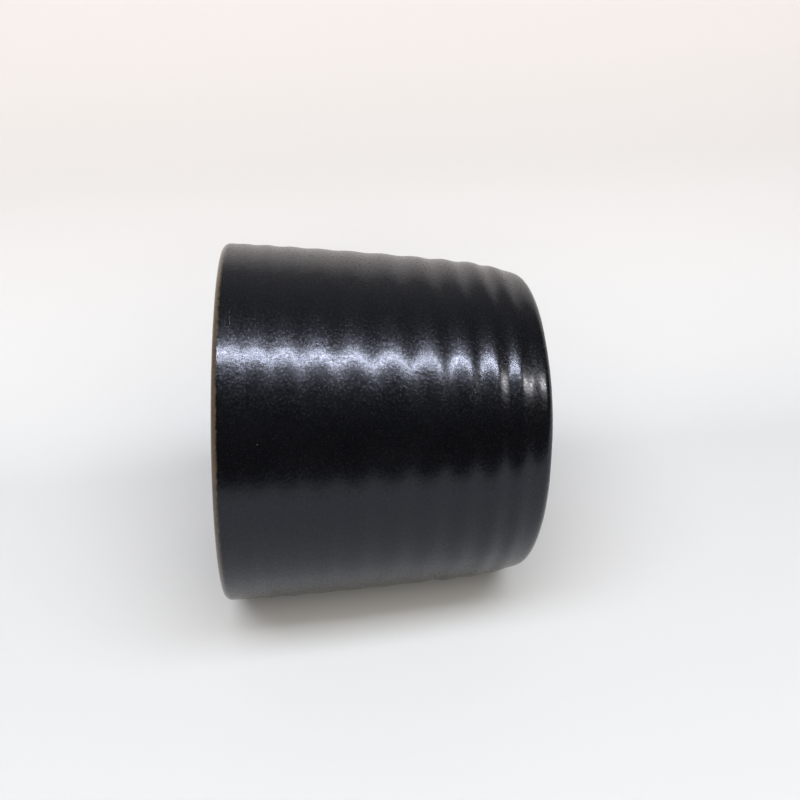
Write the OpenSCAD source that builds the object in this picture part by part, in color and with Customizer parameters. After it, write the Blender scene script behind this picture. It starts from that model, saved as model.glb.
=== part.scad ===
// Empty stoneware candle jar: a hand-thrown, slightly tapered vessel with throwing rings,
// a satin black glaze outside and in, and a brown break where the glaze runs thin over the lip.
// The origin is the centre of the foot on the table, and +Z runs up through the mouth.
// Each coat of glaze is its own solid, lying face to face on the clay.

/* [Overall] */
// Height of the jar
height = 71; // [60:1:85]
// Diameter over the lip
rim_d = 85; // [78:1:100]
// Diameter that the tapered wall would have at the table, before it tucks in to the foot
base_d = 75; // [68:1:84]
// How far the wall bows outwards at mid height
belly = 0.6; // [0:0.1:1.5]

/* [Wall] */
// Wall thickness at the lip
lip_t = 3.2; // [2.8:0.1:4.5]
// Wall thickness at the table
foot_t = 4.8; // [4.6:0.1:6]
// Height of the cavity's floor above the table
floor_z = 6.4; // [5.5:0.1:9]
// Radius of the corner between the cavity's floor and wall
floor_r = 9; // [5:0.5:12]

/* [Heel and foot] */
// How far the wall tucks in at the table
tuck = 1.65; // [0.5:0.05:2.5]
// Height over which the wall tucks in
tuck_h = 14.4; // [10:0.2:20]
// Radius of the heel, between the wall and the foot
heel_r = 2.8; // [2:0.1:4.5]
// How far round the heel the outer glaze runs before the bare foot, in degrees
heel_glaze_a = 76; // [60:1:80]
// Width of the ring of bare clay that the jar stands on
foot_w = 5; // [3:0.5:8]
// Height of the recess inside the foot
recess_h = 1.6; // [1:0.1:2.2]
// Radius of the recess's corner
recess_r = 1.2; // [0.6:0.1:1.5]

/* [Throwing rings] */
// Average spacing of the throwing rings
ring_pitch = 6.35; // [5:0.05:9]
// Height of the lowest ring's crest
ring_first = 2; // [0:0.1:4]
// How unevenly the rings are spaced, in rings
ring_drift = 0.34; // [0:0.02:0.5]
// Half height of the rings' waves near the foot
ring_foot = 0.17; // [0:0.01:0.3]
// Half height of the rings' waves near the lip
ring_lip = 0.1; // [0:0.01:0.2]
// Half height of the rings' waves inside the jar
ring_inner = 0.07; // [0:0.01:0.15]

/* [Glaze] */
// Thickness of the glaze
glaze_t = 0.4; // [0.3:0.05:0.5]

/* [Hidden] */
$fn = 180;

clay_colour = "#6b5646";
glaze_colour = "#17171b";
lip_colour = "#4a382c";

// Points per throwing ring, angle between points on an arc, and bevel on the edges of the foot
steps_per_ring = 8;
arc_step_a = 10;
bevel = 0.3;

lip_r = lip_t/2;
lip_z = height - lip_r;
wall_step = ring_pitch/steps_per_ring;

// Radius of the wall's outside, without the tuck and the rings
function cone_r(z) = base_d/2 + (rim_d - base_d)/2*z/lip_z + 4*belly*z/lip_z*(1 - z/lip_z);

// Radius of the wall's outside, without the rings
function wall_r(z) = cone_r(z) - tuck*pow(max(0, 1 - z/tuck_h), 2);

// Radius of the cavity, without the rings: the wall thickens from the lip down
function cavity_r(z) = cone_r(z) - lip_t - (foot_t - lip_t)*(1 - z/lip_z);

// Angle that a wall of radius r1 at z1 and r2 at z2 leans out from the vertical
function lean(r1, r2, z1, z2) = atan((r2 - r1)/(z2 - z1));

// The rings' wave at height z, from -1 to 1, crowding towards both ends of the wall
function ring_wave(z) = cos(360*((z - ring_first)/ring_pitch + ring_drift*sin(360*z/height)));

// Share of the rings' wave that is left at height z, so that it dies out at both ends of a wall
function ring_fade(z, low, high) = max(0, min(1, (z - low)/ring_pitch, (high - z)/ring_pitch));

// Half height of the outside rings at height z, growing quickly towards the foot
function ring_amp(z) = ring_lip + (ring_foot - ring_lip)*pow(1 - z/height, 2);

// The heel's arc is tangent to the wall above it and to the table
heel_a = lean(wall_r(0), wall_r(2*heel_r), 0, 2*heel_r);
heel_top = heel_r*(1 - sin(heel_a));
heel_c = wall_r(heel_top) - heel_r*cos(heel_a);

// The cavity's corner is tangent to the wall above it and to the floor
corner_z = floor_z + floor_r;
corner_a = lean(cavity_r(floor_z), cavity_r(corner_z), floor_z, corner_z);
corner_top = corner_z - floor_r*sin(corner_a);
corner_c = cavity_r(corner_top) - floor_r*cos(corner_a);

lip_c = wall_r(lip_z) - lip_r;

// Outer edge and inner edge of the bare ring that the jar stands on
foot_r = heel_c - glaze_t;
recess_edge = foot_r - foot_w;

// Points [radius, height] on an arc about [cr, cz], from angle a1 to angle a2
function arc(cr, cz, r, a1, a2) =
    let(n = ceil(abs(a2 - a1)/arc_step_a))
    [for (i = [0:n]) let(a = a1 + (a2 - a1)*i/n) [cr + r*cos(a), cz + r*sin(a)]];

// Heights from low to high, without the two ends themselves
function heights(low, high) =
    let(n = ceil((high - low)/wall_step))
    [for (i = [1:n - 1]) low + (high - low)*i/n];

// The glazed surface, from its edge on the heel up the outside, over the lip and down to the floor
outside = concat(
    arc(heel_c, heel_r, heel_r, -heel_glaze_a, -heel_a),
    [for (z = heights(heel_top, lip_z))
        [wall_r(z) + ring_amp(z)*ring_fade(z, heel_top, lip_z)*ring_wave(z), z]]);
lip = arc(lip_c, lip_z, lip_r, 0, 180);
up_inside = [for (z = heights(corner_top, lip_z))
    [cavity_r(z) + ring_inner*ring_fade(z, corner_top, lip_z)*ring_wave(z), z]];
down_inside = concat(
    [for (i = [len(up_inside) - 1:-1:0]) up_inside[i]],
    arc(corner_c, corner_z, floor_r, -corner_a, -90),
    [[0, floor_z]]);
surface = concat(outside, lip, down_inside);

// Unit normal of a path at point i, on the clay's side, from the points before and after it
function clay_normal(path, i) =
    let(a = path[max(0, i - 1)], b = path[min(len(path) - 1, i + 1)], d = b - a)
    [-d.y, d.x]/norm(d);

// The clay's face under the glaze
clay_face = [for (i = [0:len(surface) - 1]) surface[i] + glaze_t*clay_normal(surface, i)];

// Where the coats of glaze meet, as places along the surface
lip_start = len(outside);
lip_end = lip_start + len(lip) - 1;
surface_end = len(surface) - 1;

// The coat of glaze between two places along the surface
module coat(first, last) {
    rotate_extrude()
        polygon(concat(
            [for (i = [first:last]) surface[i]],
            [for (i = [last:-1:first]) clay_face[i]]));
}

// Stoneware wall, floor and foot, with a recess under the floor
module clay_body() {
    color(clay_colour)
        rotate_extrude()
            polygon(concat(
                clay_face,
                [[0, recess_h]],
                arc(recess_edge - recess_r, recess_h - recess_r, recess_r, 90, 0),
                [[recess_edge, bevel], [recess_edge + bevel, 0], [foot_r - bevel, 0], [foot_r, bevel]]));
}

// Satin black glaze from the heel to the start of the lip
module outer_glaze() {
    color(glaze_colour) coat(0, lip_start);
}

// Thin brown glaze over the rounded lip
module lip_glaze() {
    color(lip_colour) coat(lip_start, lip_end);
}

// Black glaze that lines the cavity
module inner_glaze() {
    color(glaze_colour) coat(lip_end, surface_end);
}

// Black glaze inside the foot's recess, with a thin edge
module foot_glaze() {
    edge = recess_edge - recess_r;
    color(glaze_colour)
        rotate_extrude()
            polygon([
                [0, recess_h - glaze_t],
                [edge - glaze_t, recess_h - glaze_t],
                [edge, recess_h],
                [0, recess_h]]);
}

clay_body();
outer_glaze();
lip_glaze();
inner_glaze();
foot_glaze();
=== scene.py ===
import math

import bmesh
import bpy
import numpy as np
from mathutils import Euler, Matrix, Vector


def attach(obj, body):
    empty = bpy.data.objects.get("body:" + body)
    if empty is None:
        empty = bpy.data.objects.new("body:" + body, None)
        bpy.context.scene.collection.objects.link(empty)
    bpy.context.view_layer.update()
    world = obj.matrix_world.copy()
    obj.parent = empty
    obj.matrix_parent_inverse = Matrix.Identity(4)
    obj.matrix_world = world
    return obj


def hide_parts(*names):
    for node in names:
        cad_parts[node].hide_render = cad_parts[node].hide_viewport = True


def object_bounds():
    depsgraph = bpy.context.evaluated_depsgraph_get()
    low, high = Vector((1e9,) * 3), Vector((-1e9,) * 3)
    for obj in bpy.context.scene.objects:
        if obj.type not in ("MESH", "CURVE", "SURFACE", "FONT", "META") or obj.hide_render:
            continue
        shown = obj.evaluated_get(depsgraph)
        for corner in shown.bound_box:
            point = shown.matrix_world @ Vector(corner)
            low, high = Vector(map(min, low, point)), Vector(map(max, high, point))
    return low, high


# An empty stoneware candle jar: five pieces on the CAD frame, then its materials, floor, lights and camera
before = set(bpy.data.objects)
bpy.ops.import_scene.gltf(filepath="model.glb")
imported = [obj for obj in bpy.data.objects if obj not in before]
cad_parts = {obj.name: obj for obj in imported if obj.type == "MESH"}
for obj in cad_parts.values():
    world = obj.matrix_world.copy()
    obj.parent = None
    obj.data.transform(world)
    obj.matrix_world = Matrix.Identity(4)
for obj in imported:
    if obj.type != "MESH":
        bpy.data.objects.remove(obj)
cad_low, cad_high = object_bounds()

# ---------------------------------------------------------------- sizes, in metres
# The jar stands on z = 0 with its mouth up. These repeat the CAD part's driving sizes.
MM = 0.001
HEIGHT = cad_high.z
RIM_R = cad_high.x
BASE_R = 37.5 * MM
BELLY = 0.6 * MM
LIP_T = 3.2 * MM
FOOT_T = 4.8 * MM
FLOOR_Z = 6.4 * MM
FLOOR_R = 9 * MM
TUCK = 1.65 * MM
TUCK_H = 14.4 * MM
HEEL_R = 2.8 * MM
HEEL_GLAZE_A = math.radians(76)
FOOT_W = 5 * MM
RECESS_H = 1.6 * MM
RECESS_R = 1.2 * MM
GLAZE_T = 0.4 * MM
BEVEL = 0.3 * MM

# Throwing rings
RING_PITCH = 6.35 * MM
RING_FIRST = 2 * MM
RING_DRIFT = 0.34
RING_FOOT = 0.17 * MM
RING_LIP = 0.1 * MM
RING_INNER = 0.07 * MM

# Mesh density: points up each throwing ring, across the cavity's floor, across the pool of glaze under
# the foot and round the jar, and the widest angle between points on an arc. Edges sharper than the last
# angle keep their crease.
STEPS_PER_RING = 14
FLOOR_STEPS = 39
POOL_STEPS = 60
AROUND = 320
ARC_STEP = math.radians(6)
SHARP = math.radians(40)

LIP_R = LIP_T / 2
LIP_Z = HEIGHT - LIP_R


# ---------------------------------------------------------------- the jar's section
def cone_r(z):
    """Radius of the wall's outside, without the tuck at the foot and the rings."""
    s = z / LIP_Z
    return BASE_R + (RIM_R - BASE_R) * s + 4 * BELLY * s * (1 - s)


def wall_r(z):
    """Radius of the wall's outside, without the rings."""
    return cone_r(z) - TUCK * np.clip(1 - z / TUCK_H, 0, None) ** 2


def cavity_r(z):
    """Radius of the cavity, without the rings: the wall thickens from the lip down."""
    return cone_r(z) - LIP_T - (FOOT_T - LIP_T) * (1 - z / LIP_Z)


def wall_middle(z):
    """Radius half way through the wall, or 0 below the cavity's floor."""
    return np.where(z > FLOOR_Z, (wall_r(z) + cavity_r(z)) / 2, 0)


def lean(radius, low, high):
    """Angle that the wall leans out from the vertical between two heights."""
    return math.atan2(radius(high) - radius(low), high - low)


def ring_wave(z):
    """The throwing rings at height z, from -1 in a groove to 1 on a crest."""
    turns = (z - RING_FIRST) / RING_PITCH + RING_DRIFT * np.sin(2 * math.pi * z / HEIGHT)
    return np.cos(2 * math.pi * turns)


def ring_size(z):
    """Half height of the outside rings at height z: deepest at the foot."""
    return RING_LIP + (RING_FOOT - RING_LIP) * (1 - z / HEIGHT) ** 2


def ring_fade(z, low, high):
    """Share of the rings that is left at height z, so that they die out at both ends of a wall."""
    return np.clip(np.minimum(z - low, high - z) / RING_PITCH, 0, 1)


def arc(centre_r, centre_z, r, a1, a2):
    """Points [radius, height] on an arc, both ends included."""
    n = max(2, math.ceil(abs(a2 - a1) / ARC_STEP))
    a = np.linspace(a1, a2, n + 1)
    return np.stack([centre_r + r * np.cos(a), centre_z + r * np.sin(a)], 1)


def wall(radius, low, high):
    """Points [radius, height] up a wall, without its two ends."""
    n = math.ceil((high - low) / (RING_PITCH / STEPS_PER_RING))
    z = np.linspace(low, high, n + 1)[1:-1]
    return np.stack([radius(z), z], 1)


def clay_side(path, distance):
    """The path moved sideways by a distance, to the clay's side of the glaze."""
    ahead = np.concatenate([path[1:], path[-1:]])
    behind = np.concatenate([path[:1], path[:-1]])
    d = ahead - behind
    normal = np.stack([-d[:, 1], d[:, 0]], 1) / np.linalg.norm(d, axis=1)[:, None]
    return path + distance * normal


# The heel and the cavity's corner are arcs that meet the walls above them smoothly
HEEL_A = lean(wall_r, 0, 2 * HEEL_R)
HEEL_TOP = HEEL_R * (1 - math.sin(HEEL_A))
HEEL_C = wall_r(HEEL_TOP) - HEEL_R * math.cos(HEEL_A)
CORNER_Z = FLOOR_Z + FLOOR_R
CORNER_A = lean(cavity_r, FLOOR_Z, CORNER_Z)
CORNER_TOP = CORNER_Z - FLOOR_R * math.sin(CORNER_A)
CORNER_C = cavity_r(CORNER_TOP) - FLOOR_R * math.cos(CORNER_A)
LIP_C = wall_r(LIP_Z) - LIP_R
FOOT_R = HEEL_C - GLAZE_T
RECESS_EDGE = FOOT_R - FOOT_W

# The glazed surface, from its edge on the heel up the outside, over the lip and down to the floor
outside = np.concatenate([
    arc(HEEL_C, HEEL_R, HEEL_R, -HEEL_GLAZE_A, -HEEL_A),
    wall(wall_r, HEEL_TOP, LIP_Z),
])
lip = arc(LIP_C, LIP_Z, LIP_R, 0, math.pi)
floor_r = np.linspace(CORNER_C, 0, FLOOR_STEPS + 1)[1:]
inside = np.concatenate([
    wall(cavity_r, CORNER_TOP, LIP_Z)[::-1],
    arc(CORNER_C, CORNER_Z, FLOOR_R, -CORNER_A, -math.pi / 2),
    np.stack([floor_r, np.full(FLOOR_STEPS, FLOOR_Z)], 1),
])
surface = np.concatenate([outside, lip, inside])
LIP_START = len(outside)
LIP_END = LIP_START + len(lip) - 1

clay_face = clay_side(surface, GLAZE_T)
clay_face[-1, 0] = 0

# ---------------------------------------------------------------- marks of the potter's hand
# A wander is a sum of waves that run round the jar and slant by up to so many radians per metre of
# height, with sizes that add up to HAND_SIZE.
HAND_WAVES = 7
HAND_CLIMB = 140
HAND_SIZE = 1.8


def hand(seed, most_turns, strength):
    """A smooth, repeatable wander round the jar: a function of angle and height."""
    rng = np.random.default_rng(seed)
    turns = rng.integers(1, most_turns + 1, HAND_WAVES)
    phases = rng.uniform(0, 2 * math.pi, HAND_WAVES)
    climbs = rng.uniform(-HAND_CLIMB, HAND_CLIMB, HAND_WAVES)
    sizes = rng.uniform(0.5, 1, HAND_WAVES)
    sizes = sizes / sizes.sum() * HAND_SIZE

    def wander(a, z):
        total = 0
        for k, phase, climb, size in zip(turns, phases, climbs, sizes):
            total = total + size * np.sin(k * a + climb * z + phase)
        return strength * total

    return wander


# How the rings swell, as a share of their height, and how they rise and fall
RING_SWELL = hand(seed=3, most_turns=5, strength=0.4)
RING_LIFT = hand(seed=5, most_turns=3, strength=0.35 * MM)

# How the wall drifts in and out, and the height over which that fades towards both of its ends. Points
# nearer the axis than STILL_SHARE of the floor's radius do not move sideways.
WALL_DRIFT = hand(seed=8, most_turns=3, strength=0.07 * MM)
DRIFT_ZONE = 3 * RING_PITCH
STILL_SHARE = 0.4

# How the lip wavers up and down, sinks and is pinched in, and the height over which that grows
LIP_DRIFT = hand(seed=11, most_turns=4, strength=0.05 * MM)
LIP_DROP = 0.1 * MM
LIP_PINCH = 0.02 * MM
LIP_ZONE = 6 * MM

# The spiral that a fingertip leaves on the cavity's floor
SPIRAL_PITCH = 6 * MM
SPIRAL_DEPTH = 0.12 * MM

# The outer glaze's lower edge: its wander, how far it lies up the heel, and the angle on the heel above
# which it is left alone. Over the last EDGE_BEAD of the way down it thins by EDGE_THINNING to a bead.
EDGE_DRIFT = hand(seed=13, most_turns=9, strength=0.4 * MM)
EDGE_LIFT = 0.45 * MM
EDGE_TOP_A = math.radians(30)
EDGE_BEAD = 1 / 6
EDGE_THINNING = 0.75


def floor_spiral(r, z, a):
    """Rise of the spiral on the cavity's floor, dying out at its middle and at the corner."""
    on_floor = (np.abs(z - FLOOR_Z) < 2 * GLAZE_T) & (r < CORNER_C)
    share = np.clip(r / SPIRAL_PITCH, 0, 1) * np.clip((CORNER_C - r) / SPIRAL_PITCH, 0, 1)
    return SPIRAL_DEPTH * share * np.cos(2 * math.pi * r / SPIRAL_PITCH - a) * on_floor


def thrown(r, z, a):
    """Where a point of the plain section goes on the thrown jar, at angle a. Coats and clay share it."""
    rings = np.where(
        r > wall_middle(z),
        ring_size(z) * ring_fade(z, HEEL_TOP, LIP_Z),
        RING_INNER * ring_fade(z, CORNER_TOP, LIP_Z),
    )
    shift = rings * (1 + RING_SWELL(a, z)) * ring_wave(z + RING_LIFT(a, z))
    near_lip = np.clip((z - LIP_Z + LIP_ZONE) / LIP_ZONE, 0, 1)
    on_wall = np.clip(np.minimum(z - HEEL_TOP, LIP_Z - z) / DRIFT_ZONE, 0, 1)
    shift = shift + WALL_DRIFT(a, z) * on_wall - LIP_PINCH * (1 + np.sin(2 * a)) * near_lip
    lower = (LIP_DRIFT(a, 0) - LIP_DROP) * near_lip
    return r + shift * (r > STILL_SHARE * CORNER_C), z + lower + floor_spiral(r, z, a)


def glazed_edge(r, z, a):
    """The thrown shape, with the coat's lower edge slid up the heel by a wander and rounded to a bead."""
    dr, dz = r - HEEL_C, z - HEEL_R
    around = np.arctan2(dz, dr)
    share = np.clip((-around - EDGE_TOP_A) / (HEEL_GLAZE_A - EDGE_TOP_A), 0, 1)
    slide = share * (EDGE_DRIFT(a, 0) + EDGE_LIFT) / HEEL_R
    depth = np.hypot(dr, dz)
    skin = np.clip((depth - HEEL_R + GLAZE_T) / GLAZE_T, 0, 1)
    bead = np.clip(1 - (1 - share) / EDGE_BEAD, 0, 1) ** 2
    depth = depth - EDGE_THINNING * GLAZE_T * skin * bead
    low = (dz < 0) & (share > 0)
    r2 = np.where(low, HEEL_C + depth * np.cos(around + slide), r)
    z2 = np.where(low, HEEL_R + depth * np.sin(around + slide), z)
    return thrown(r2, z2, a)


# ---------------------------------------------------------------- meshes
# A point nearer the axis than this is one on it, and the others are repeated at these angles
ON_AXIS = 1e-7
ANGLES = np.linspace(0, 2 * math.pi, AROUND, endpoint=False)

# Width of the flat ring of clay inside the recess's corner, and the size and ripples of the pool of glaze
RECESS_MARGIN = 4 * MM
POOL_R = RECESS_EDGE - RECESS_R
POOL_RIPPLE = 5 * MM
POOL_WAVE = 0.15


def row_of_points(bm, r, z, shape):
    """Vertices round the jar for one point of a section, or a single one on the axis."""
    if r < ON_AXIS:
        return [bm.verts.new((0, 0, z))]
    radius, height = shape(np.full(AROUND, r), np.full(AROUND, z), ANGLES)
    return [
        bm.verts.new((rr * math.cos(a), rr * math.sin(a), hh))
        for rr, hh, a in zip(radius, height, ANGLES)
    ]


def join_rows(bm, low, high):
    """Faces between two neighbouring rows of vertices, either of which may be a single one."""
    if len(low) == 1 and len(high) == 1:
        return
    for i in range(AROUND):
        j = (i + 1) % AROUND
        if len(low) == 1:
            bm.faces.new((low[0], high[j], high[i]))
        elif len(high) == 1:
            bm.faces.new((low[i], low[j], high[0]))
        else:
            bm.faces.new((low[i], low[j], high[j], high[i]))


def add_object(name, data):
    """An object with this mesh, light or camera, in the scene."""
    thing = bpy.data.objects.new(name, data)
    bpy.context.scene.collection.objects.link(thing)
    return thing


def smooth(mesh):
    """Smooth shading over every face of a mesh."""
    mesh.polygons.foreach_set("use_smooth", [True] * len(mesh.polygons))


def revolve(name, section, shape=thrown):
    """A closed mesh turned about Z from a closed section of [radius, height] points."""
    bm = bmesh.new()
    rows = [row_of_points(bm, r, z, shape) for r, z in section]
    for low, high in zip(rows, rows[1:] + rows[:1]):
        join_rows(bm, low, high)
    bmesh.ops.recalc_face_normals(bm, faces=bm.faces)
    mesh = bpy.data.meshes.new(name)
    bm.to_mesh(mesh)
    bm.free()
    smooth(mesh)
    mesh.set_sharp_from_angle(angle=SHARP)
    return add_object(name, mesh)


def coat(name, first, last, shape=thrown):
    """The coat of glaze between two places along the surface, as a closed shell."""
    face, back = surface[first:last + 1], clay_face[first:last + 1]
    return revolve(name, np.concatenate([face, back[::-1]]), shape)


def stoneware():
    """The clay: its glazed face, the recess under its floor and the ring that it stands on."""
    foot = np.concatenate([
        [[0, RECESS_H]],
        [[POOL_R - RECESS_MARGIN, RECESS_H]],
        arc(RECESS_EDGE - RECESS_R, RECESS_H - RECESS_R, RECESS_R, math.pi / 2, 0),
        arc(RECESS_EDGE + BEVEL, BEVEL, BEVEL, math.pi, 1.5 * math.pi),
        arc(FOOT_R - BEVEL, BEVEL, BEVEL, -math.pi / 2, 0),
    ])
    return revolve("stoneware_body", np.concatenate([clay_face, foot]))


def glaze_pool():
    """The pool of glaze in the recess, which follows the turning marks and ends in a rounded edge."""
    pool_r = np.linspace(0, POOL_R - GLAZE_T, POOL_STEPS)
    depth = GLAZE_T * (1 - POOL_WAVE + POOL_WAVE * np.cos(2 * math.pi * pool_r / POOL_RIPPLE))
    pool = np.stack([pool_r, RECESS_H - depth], 1)
    edge = arc(POOL_R - GLAZE_T, RECESS_H, depth[-1], -math.pi / 2, 0)[1:]
    return revolve("foot_glaze_pool", np.concatenate([pool, edge, [[0, RECESS_H]]]))


outer_glaze = coat("outer_glaze_coat", 0, LIP_START, glazed_edge)
lip_glaze = coat("lip_glaze_coat", LIP_START, LIP_END)
inner_glaze = coat("inner_glaze_coat", LIP_END, len(surface) - 1)
clay_body = stoneware()
foot_glaze = glaze_pool()


# ---------------------------------------------------------------- materials
def add_node(tree, kind, inputs=(), **settings):
    """A node with its inputs linked or set by name or number."""
    node = tree.nodes.new(kind)
    for key, value in settings.items():
        setattr(node, key, value)
    for key, value in dict(inputs).items():
        if isinstance(value, bpy.types.NodeSocket):
            tree.links.new(value, node.inputs[key])
        else:
            node.inputs[key].default_value = value
    return node


class Nodes:
    """Short names for building a material's node tree."""

    def __init__(self, name):
        self.material = bpy.data.materials.new(name)
        self.material.use_nodes = True
        self.tree = self.material.node_tree
        self.tree.nodes.clear()

    def add(self, kind, inputs=(), **settings):
        return add_node(self.tree, kind, inputs, **settings)

    def place(self):
        return self.add("ShaderNodeTexCoord").outputs["Object"]

    def axes(self, vector):
        return self.add("ShaderNodeSeparateXYZ", {"Vector": vector}).outputs

    def noise(self, vector, scale, detail, roughness=0.5):
        return self.add("ShaderNodeTexNoise", {
            "Vector": vector, "Scale": scale, "Detail": detail, "Roughness": roughness,
        }).outputs["Fac"]

    def cells(self, vector, scale):
        return self.add("ShaderNodeTexVoronoi", {"Vector": vector, "Scale": scale}).outputs

    def span(self, value, low, high, start=0, end=1):
        return self.add("ShaderNodeMapRange", {
            "Value": value, "From Min": low, "From Max": high, "To Min": start, "To Max": end,
        }).outputs["Result"]

    def near(self, value, place, inner, outer):
        """1 within a small distance of a place, 0 beyond a larger one."""
        away = self.math("ABSOLUTE", self.math("SUBTRACT", value, place), 0)
        return self.span(away, inner, outer, 1, 0)

    def math(self, operation, a, b):
        return self.add("ShaderNodeMath", {0: a, 1: b}, operation=operation).outputs["Value"]

    def mix(self, share, a, b):
        return self.add("ShaderNodeMix", {"Factor": share, 6: a, 7: b}, data_type="RGBA").outputs[2]

    def bump(self, height, distance, strength=1, normal=None):
        inputs = {"Height": height, "Distance": distance, "Strength": strength}
        if normal is not None:
            inputs["Normal"] = normal
        return self.add("ShaderNodeBump", inputs).outputs["Normal"]

    def finish(self, **inputs):
        """A principled shader with these inputs, as the material's surface."""
        named = {key.replace("_", " "): value for key, value in inputs.items()}
        shader = self.add("ShaderNodeBsdfPrincipled", named).outputs["BSDF"]
        self.add("ShaderNodeOutputMaterial", {"Surface": shader})
        return self.material


# Noise patterns: cells per metre, detail and, where it is not a half, roughness. A span is the part of
# a pattern's values that its colours or its shine run over.
CLOUDS, CLOUDS_SPAN = (90, 4), (0.35, 0.7)
RAGS = (700, 4, 0.65)
MOTTLE = (1500, 3)
SHINE, SHINE_SPAN = (2000, 1), (0.2, 0.8)
CLAY_CLOUDS, CLAY_SPAN = (160, 5), (0.3, 0.7)
CLAY_TOOTH = (2200, 4, 0.7)

# The glaze's black, and the brown that it turns to over the lip, between two heights with a ragged edge
BLACK = (0.0009, 0.0009, 0.0012, 1)
SOFT_BLACK = (0.0015, 0.0015, 0.0019, 1)
BROWN = (0.022, 0.015, 0.009, 1)
PALE_BROWN = (0.06, 0.042, 0.027, 1)
BROWN_RAGGED = 1.1 * MM
BROWN_FROM = LIP_Z + 0.2 * MM + BROWN_RAGGED / 2
BROWN_TO = BROWN_FROM + 0.5 * MM

# The grain: how far it spreads the roughness either way, and its bumps as cells per metre, detail
# and depth
GRAIN_SPREAD = 0.085
GRAIN_BUMPS = ((420, 1, 0.02 * MM), (800, 0, 0.008 * MM), (1700, 0, 0.01 * MM))

# Specks of dust: cells per metre, how far from its middle a speck starts to fade and ends, in cells, and
# between which random values of a cell it comes to have one
DUST = (0.3, 0.29, 0.27, 1)
DUST_CELLS = 110
DUST_R = (0.008, 0.016)
DUST_CHOICE = (0.72, 0.74)

# A short score line just under the lip: its middle, how far from it the line starts to fade and ends,
# up and along, and its depth
SCORE_X, SCORE_Z = 36 * MM, HEIGHT - 3.5 * MM
SCORE_UP = (0.03 * MM, 0.12 * MM)
SCORE_ALONG = (2.2 * MM, 3.4 * MM)
SCORE_DEPTH = 0.05 * MM

# How strongly fired glaze and clay reflect, and the tint of the glaze's reflections
FIRED_IOR = 1.45
COOL_SHEEN = (0.8, 0.84, 1, 1)

# Bare stoneware: its colours and roughness, its grit as cells per metre and where a grain starts to fade
# and ends, in cells, its turning lines and the depth of its tooth
CLAY_DARK = (0.16, 0.105, 0.07, 1)
CLAY_PALE = (0.27, 0.19, 0.135, 1)
CLAY_ROUGHNESS = 0.85
GRIT = (0.05, 0.035, 0.028, 1)
GRIT_CELLS = 1100
GRIT_R = (0.1, 0.25)
TURNING = {"Scale": 330, "Distortion": 1.5, "Detail": 2}
TURNING_DEPTH = 0.05 * MM
TOOTH_DEPTH = 0.06 * MM


def glaze_colour(n, at, height):
    """Near black, turning brown where the glaze runs thin over the lip, with a few specks of dust."""
    black = n.mix(n.span(n.noise(at, *CLOUDS), *CLOUDS_SPAN), BLACK, SOFT_BLACK)
    ragged = n.math("ADD", height, n.math("MULTIPLY", n.noise(at, *RAGS), BROWN_RAGGED))
    brown = n.mix(n.noise(at, *MOTTLE), BROWN, PALE_BROWN)
    colour = n.mix(n.span(ragged, BROWN_FROM, BROWN_TO), black, brown)
    cells = n.cells(at, DUST_CELLS)
    speck = n.span(cells["Distance"], *DUST_R, 1, 0)
    chosen = n.span(cells["Color"], *DUST_CHOICE)
    return n.mix(n.math("MULTIPLY", speck, chosen), colour, DUST)


def glaze_relief(n, at, across, height, grain):
    """The score line and the fine grain, as bumps."""
    score = n.math("MULTIPLY", n.near(height, SCORE_Z, *SCORE_UP), n.near(across, SCORE_X, *SCORE_ALONG))
    normal = n.bump(n.math("MULTIPLY", score, -1), SCORE_DEPTH)
    for cells, detail, depth in GRAIN_BUMPS:
        normal = n.bump(n.noise(at, cells, detail), depth, grain, normal)
    return normal


def glaze(name, roughness, grain):
    """Fired satin glaze: near black, brown over the lip, with a fine grain of this strength."""
    n = Nodes(name)
    at = n.place()
    axes = n.axes(at)
    low, high = roughness - GRAIN_SPREAD, roughness + GRAIN_SPREAD
    return n.finish(
        Base_Color=glaze_colour(n, at, axes["Z"]),
        Roughness=n.span(n.noise(at, *SHINE), *SHINE_SPAN, low, high),
        Normal=glaze_relief(n, at, axes["X"], axes["Z"], grain),
        IOR=FIRED_IOR,
        Specular_Tint=COOL_SHEEN,
    )


def bare_clay(name):
    """Unglazed stoneware: brown grey, with dark grit and the marks of trimming."""
    n = Nodes(name)
    at = n.place()
    clay = n.mix(n.span(n.noise(at, *CLAY_CLOUDS), *CLAY_SPAN), CLAY_DARK, CLAY_PALE)
    grit = n.span(n.cells(at, GRIT_CELLS)["Distance"], *GRIT_R, 1, 0)
    lines = n.add("ShaderNodeTexWave", {"Vector": at, **TURNING}, wave_type="RINGS", rings_direction="Z")
    normal = n.bump(lines.outputs["Fac"], TURNING_DEPTH)
    return n.finish(
        Base_Color=n.mix(grit, clay, GRIT),
        Roughness=CLAY_ROUGHNESS,
        Normal=n.bump(n.noise(at, *CLAY_TOOTH), TOOTH_DEPTH, 1, normal),
        IOR=FIRED_IOR,
    )


materials = {
    outer_glaze: glaze("satin_black_glaze", roughness=0.235, grain=1),
    lip_glaze: glaze("brown_lip_glaze", roughness=0.21, grain=2),
    inner_glaze: glaze("lining_glaze", roughness=0.22, grain=0.5),
    foot_glaze: glaze("foot_recess_glaze", roughness=0.22, grain=0.5),
    clay_body: bare_clay("stoneware"),
}
for piece, material in materials.items():
    piece.data.materials.append(material)

# ---------------------------------------------------------------- pieces on the frame
STANDS_FOR = {
    clay_body: ("clay_body", "stoneware"),
    outer_glaze: ("outer_glaze", "black_glaze"),
    lip_glaze: ("lip_glaze", "brown_glaze"),
    inner_glaze: ("inner_glaze", "lining_glaze"),
    foot_glaze: ("foot_glaze", "lining_glaze"),
}
for piece, (node, slot) in STANDS_FOR.items():
    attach(piece, "root")
    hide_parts(node)

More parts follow.
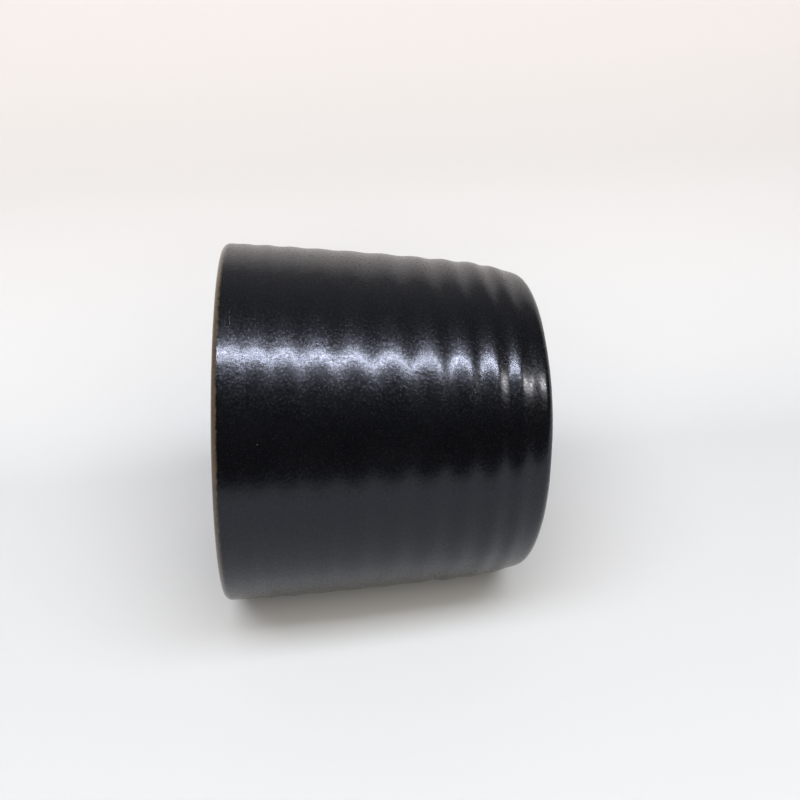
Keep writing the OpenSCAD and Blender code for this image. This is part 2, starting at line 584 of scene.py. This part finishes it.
# ---------------------------------------------------------------- the room
# The jar is seen lying on its side, on a pale floor that its wall touches along the -X side. Room
# directions: right runs along the floor from the mouth to the foot, back is away from the camera,
# and up is straight up from the floor. Room positions are in millimetres. TAPER is the lean of the
# wall that lies on the floor.
TAPER = math.radians(4.2)
ROOM = Matrix((
    (math.sin(TAPER), 0, math.cos(TAPER)),
    (0, 1, 0),
    (-math.cos(TAPER), 0, math.sin(TAPER)),
))
RIGHT = (1, 0, 0)
BACK = (0, 1, 0)
UP = ROOM @ Vector((0, 0, 1))
FLOOR_UP = min(v.co.dot(UP) for v in outer_glaze.data.vertices)
MIDDLE = (-HEIGHT / MM / 2, 0, 0)


def in_room(right, back, up):
    """A point given in the room's directions, in millimetres from the middle of the foot."""
    return ROOM @ Vector((right, back, up)) * MM


# ---------------------------------------------------------------- the floor and the backdrop
# The sheet's section, in millimetres and degrees: a flat floor, a cove that turns up from it, and a
# backdrop that goes on from the cove's end and leans back
FLOOR_FRONT = -345
COVE_START = 45
COVE_R = 100
COVE_END = 74
COVE_STEPS = 24
BACKDROP_LENGTH = 230
SHEET_HALF_WIDTH = 900

# The sheet's colour goes from FLOOR_WHITE to TOP_WHITE_PAINTED_LIGHTER over PAINTED_LIGHT_RISE. This is
# painted light:
# the sheet gets lighter and warmer going up, to make up for the light the upper sheet misses. Outside the
# picture, in front and high up, it darkens to painted shade, so that its ends are not sharp in the glaze
FLOOR_WHITE = (0.331, 0.327, 0.338, 1)
TOP_WHITE_PAINTED_LIGHTER = (0.366, 0.339, 0.338, 1)
FRONT_PAINTED_SHADE = (0.01, 0.01, 0.01, 1)
TOP_PAINTED_SHADE = (0.1, 0.1, 0.1, 1)
PAINTED_LIGHT_RISE = 110 * MM
FRONT_SHADE_START = -195 * MM
TOP_SHADE_FROM, TOP_SHADE_TO = 170 * MM, 293 * MM


def sheet_outline(floor_up):
    """Points [back, up] along the sheet's section, from the front of the floor to the top."""
    points = [(FLOOR_FRONT, floor_up)]
    for i in range(COVE_STEPS + 1):
        a = math.radians(COVE_END * i / COVE_STEPS)
        points.append((COVE_START + COVE_R * math.sin(a), floor_up + COVE_R * (1 - math.cos(a))))
    back, up = points[-1]
    points.append((back + BACKDROP_LENGTH * math.cos(a), up + BACKDROP_LENGTH * math.sin(a)))
    return points


def stage_sheet(name, outline, half_width):
    """A plain sheet along the room's right direction, bent to an outline of [back, up] points."""
    mesh = bpy.data.meshes.new(name)
    verts = [in_room(side, back, up) for side in (-half_width, half_width) for back, up in outline]
    n = len(outline)
    mesh.from_pydata(verts, [], [(i, n + i, n + i + 1, i + 1) for i in range(n - 1)])
    smooth(mesh)
    sheet = add_object(name, mesh)
    return sheet


def studio_white():
    """Matt white that is clear when seen from behind, painted lighter and warmer going up, with painted
    shade in front and high up.
    """
    n = Nodes("studio_white")
    at = n.place()
    lift = n.add("ShaderNodeVectorMath", {0: at, 1: UP}, operation="DOT_PRODUCT").outputs["Value"]
    back = n.axes(at)["Y"]
    # Painted light: the sheet is painted lighter and warmer going up from the floor, for the light that
    # the upper sheet misses
    colour = n.mix(n.span(lift, FLOOR_UP, FLOOR_UP + PAINTED_LIGHT_RISE), FLOOR_WHITE, TOP_WHITE_PAINTED_LIGHTER)
    # Painted shade: the floor darkens towards its front edge
    colour = n.mix(n.span(back, FRONT_SHADE_START, FLOOR_FRONT * MM), colour, FRONT_PAINTED_SHADE)
    # Painted shade: the backdrop darkens high up
    colour = n.mix(n.span(lift, FLOOR_UP + TOP_SHADE_FROM, FLOOR_UP + TOP_SHADE_TO), colour, TOP_PAINTED_SHADE)
    white = n.add("ShaderNodeBsdfDiffuse", {"Color": colour}).outputs["BSDF"]
    clear = n.add("ShaderNodeBsdfTransparent").outputs["BSDF"]
    behind = n.add("ShaderNodeNewGeometry").outputs["Backfacing"]
    both = n.add("ShaderNodeMixShader", {0: behind, 1: white, 2: clear}).outputs["Shader"]
    n.add("ShaderNodeOutputMaterial", {"Surface": both})
    return n.material


sheet = stage_sheet("studio_sheet", sheet_outline(FLOOR_UP / MM), SHEET_HALF_WIDTH)
sheet.data.materials.append(studio_white())

# ---------------------------------------------------------------- the lights
# The tubes lie on one line overhead, in front of the jar, that comes forward to the right. Places
# on it are shares of its height, to the right of the jar's middle. Lights are sized in millimetres.
TUBE_UP = 600
TUBE_WIDTH = 20
TUBE_BACK, TUBE_TURN = -0.4, -0.17
COOL = (0.93, 0.95, 1)
WARM = (1, 0.95, 0.86)
COOL_FILL = (0.91, 0.96, 1)
WARM_FILL = (1, 0.97, 0.86)
PLAIN_FILL = (1, 0.99, 0.97)


def softbox(name, position, target, along, length, width, radiance, colour):
    """A rectangular area light at a room position, facing a room target, its length along a direction."""
    data = bpy.data.lights.new(name, "AREA")
    data.shape = "RECTANGLE"
    data.size, data.size_y = length * MM, width * MM
    data.energy = radiance * math.pi * data.size * data.size_y
    data.color = colour
    light = add_object(name, data)
    light.location = in_room(*position)
    way = (in_room(*target) - light.location).normalized()
    across = ROOM @ Vector(along)
    across = (across - across.dot(way) * way).normalized()
    light.rotation_euler = Matrix((across, across.cross(way), -way)).transposed().to_euler()
    return light


def tube(name, left, right, radiance, colour):
    """A narrow light between two places on the line of tubes, that only shows in reflections."""
    middle = (left + right) / 2
    place = (MIDDLE[0] + TUBE_UP * middle, TUBE_UP * (TUBE_BACK + TUBE_TURN * middle), TUBE_UP)
    length = TUBE_UP * (right - left) * math.hypot(1, TUBE_TURN)
    below = (place[0], 0, 0)
    light = softbox(name, place, below, (1, TUBE_TURN, 0), length, TUBE_WIDTH, radiance, colour)
    light.visible_diffuse = False


def fill(name, position, target, along, length, width, radiance, colour):
    """A wide soft light that does not show in reflections."""
    light = softbox(name, position, target, along, length, width, radiance, colour)
    light.visible_glossy = False


def studio_lights():
    """Two tubes for the highlights, and three soft lights for the floor and the shadow."""
    tube("key", left=-0.8, right=0.75, radiance=149, colour=COOL)
    tube("warm_tube", left=1.3, right=1.8, radiance=215, colour=WARM)
    fill("overhead", position=(MIDDLE[0], -330, 900), target=MIDDLE, along=RIGHT,
         length=1500, width=360, radiance=13, colour=COOL_FILL)
    fill("fill", position=(MIDDLE[0], -600, 450), target=MIDDLE, along=RIGHT,
         length=900, width=700, radiance=5.6, colour=WARM_FILL)
    fill("side_fill", position=(-450, -150, 300), target=(-150, 0, -40), along=BACK,
         length=300, width=300, radiance=0.6, colour=PLAIN_FILL)


studio_lights()

# ---------------------------------------------------------------- the air
# The room glows behind the jar, half way up, and is dim elsewhere
GLOW_WAY = ROOM @ Vector((0, 0.7, 0.7)).normalized()
GLOW_FALL = 3
GLOW_LOW, GLOW_HIGH = 0.031, 0.38
SURROUND = (0.85, 0.85, 0.85, 1)


def studio_air():
    """A white surround for the camera; everything else sees a dim room that glows behind and above."""
    world = bpy.data.worlds.new("studio_air")
    world.use_nodes = True
    tree = world.node_tree
    tree.nodes.clear()

    way = add_node(tree, "ShaderNodeTexCoord").outputs["Generated"]
    toward = add_node(tree, "ShaderNodeVectorMath", {0: way, 1: GLOW_WAY}, operation="DOT_PRODUCT")
    part = add_node(tree, "ShaderNodeMath", {0: toward.outputs["Value"], 1: 0}, operation="MAXIMUM")
    share = add_node(tree, "ShaderNodeMath", {0: part.outputs[0], 1: GLOW_FALL}, operation="POWER")
    level = add_node(tree, "ShaderNodeMapRange", {
        "Value": share.outputs[0], "To Min": GLOW_LOW, "To Max": GLOW_HIGH,
    })
    air = add_node(tree, "ShaderNodeBackground", {"Color": level.outputs["Result"]}).outputs[0]
    seen = add_node(tree, "ShaderNodeBackground", {"Color": SURROUND}).outputs[0]
    direct = add_node(tree, "ShaderNodeLightPath").outputs["Is Camera Ray"]
    both = add_node(tree, "ShaderNodeMixShader", {0: direct, 1: air, 2: seen}).outputs[0]
    add_node(tree, "ShaderNodeOutputWorld", {"Surface": both})
    return world


bpy.context.scene.world = studio_air()

# ---------------------------------------------------------------- the camera
# Its place is a room position, its turns are in degrees, and its focal length and sensor in millimetres
CAMERA_AT = (-46.1, -183.8, 105.7)
YAW, PITCH, ROLL = 5.45, -28.0, -1.5
SENSOR = 36
FOCAL = 38.25


def studio_camera():
    """A camera that looks down on the jar: level at first, then turned by its yaw, pitch and roll."""
    data = bpy.data.cameras.new("camera")
    data.sensor_width = SENSOR
    data.lens = FOCAL
    data.clip_start = 1 * MM
    camera = add_object("camera", data)
    turn = (
        Euler((0, 0, math.radians(-YAW))).to_matrix()
        @ Euler((math.radians(90 + PITCH), 0, 0)).to_matrix()
        @ Euler((0, 0, math.radians(ROLL))).to_matrix()
    )
    camera.matrix_world = Matrix.Translation(in_room(*CAMERA_AT)) @ (ROOM @ turn).to_4x4()
    return camera


bpy.context.scene.camera = studio_camera()
bpy.context.scene.view_settings.view_transform = "Standard"
